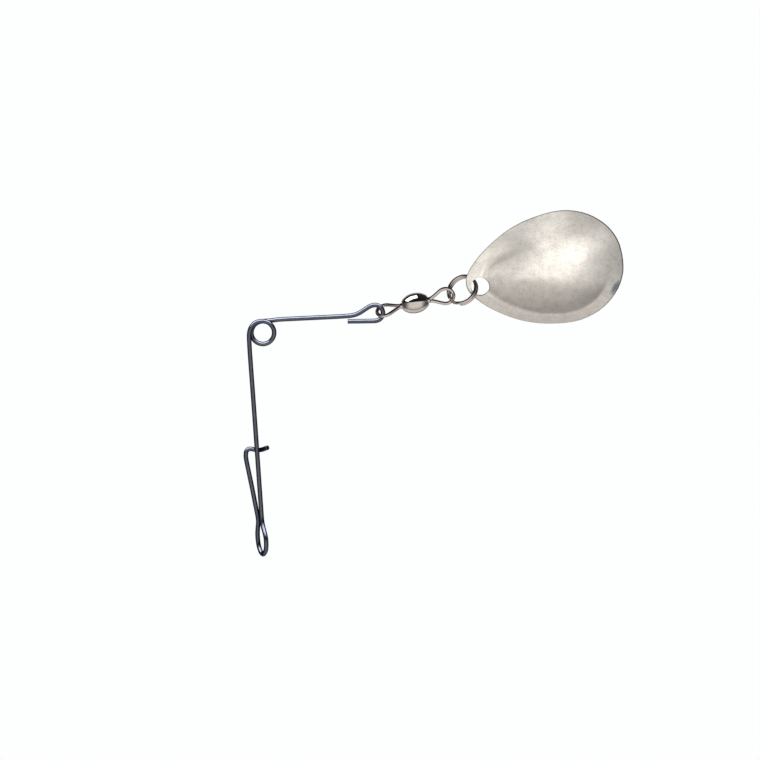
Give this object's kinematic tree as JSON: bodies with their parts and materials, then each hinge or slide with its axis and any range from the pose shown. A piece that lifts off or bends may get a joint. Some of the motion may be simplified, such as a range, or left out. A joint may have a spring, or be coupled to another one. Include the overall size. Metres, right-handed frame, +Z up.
{
  "type": "jig spinner arm",
  "caption": "Bent spring wire with a snap clip, a line-tie coil and an arm that carries a domed teardrop blade on a barrel swivel and split ring.",
  "frame": {"origin": "centre of the part's outline on the table that it lies on, at the table's height", "axes": "+Z up from the table; +X along the blade arm from the line-tie coil towards the blade; +Y away from the clip end of the shaft"},
  "size_m": [0.0536, 0.0488, 0.0048],
  "materials": {
    "wire_shaft": "black-nickel satin spring wire",
    "blade_arm": "black-nickel satin spring wire",
    "clip_latch": "black-nickel satin spring wire",
    "swivel_eye_wire": "bright nickel plate",
    "swivel_barrel": "bright nickel plate",
    "swivel_eye_ring": "bright nickel plate",
    "split_ring": "bright nickel plate",
    "blade": "satin nickel plate over sheet metal"
  },
  "bodies": {
    "wire_shaft": {"wire_shaft": "wire_shaft"},
    "blade_arm": {"blade_arm": "blade_arm"},
    "clip_latch": {"clip_latch": "clip_latch"},
    "wire_eye": {"swivel_eye_wire": "swivel_eye_wire"},
    "barrel": {"swivel_barrel": "swivel_barrel"},
    "ring_eye": {"swivel_eye_ring": "swivel_eye_ring"},
    "ring": {"split_ring": "split_ring"},
    "blade": {"blade": "blade"}
  },
  "joints": [
    {"name": "arm_flex", "type": "hinge", "parent": "wire_shaft", "child": "blade_arm", "pos_m": [-0.02405, 0.00713, 0.00034], "axis": [0, 0, 1], "range_deg": [-20, 10], "stiffness_Nm_per_rad": 0.1},
    {"name": "latch_flex", "type": "hinge", "parent": "wire_shaft", "child": "clip_latch", "pos_m": [-0.02397, -0.02412, 0.00133], "axis": [-0.8601, 0, 0.5101], "range_deg": [0, 16], "stiffness_Nm_per_rad": 0.15},
    {"name": "eye_on_hook", "type": "hinge", "parent": "blade_arm", "child": "wire_eye", "pos_m": [-0.00822, 0.00991, 0.00113], "axis": [0, 0, 1], "range_deg": [-80, 80]},
    {"name": "barrel_spin", "type": "hinge", "parent": "wire_eye", "child": "barrel", "pos_m": [-0.00258, 0.0113, 0.00144], "axis": [0.9768, 0.2023, 0.0698], "continuous": true},
    {"name": "ring_eye_spin", "type": "hinge", "parent": "barrel", "child": "ring_eye", "pos_m": [-0.00258, 0.0113, 0.00144], "axis": [0.9768, 0.2023, 0.0698], "continuous": true},
    {"name": "ring_swing", "type": "hinge", "parent": "ring_eye", "child": "ring", "pos_m": [0.00281, 0.01256, 0.00183], "axis": [-0.2439, 0.8808, 0.4057], "range_deg": [-60, 20]},
    {"name": "blade_swing", "type": "hinge", "parent": "ring", "child": "blade", "pos_m": [0.00598, 0.01363, 0.00319], "axis": [-0.0474, 0.872, -0.4872], "range_deg": [-50, 75]}
  ]
}
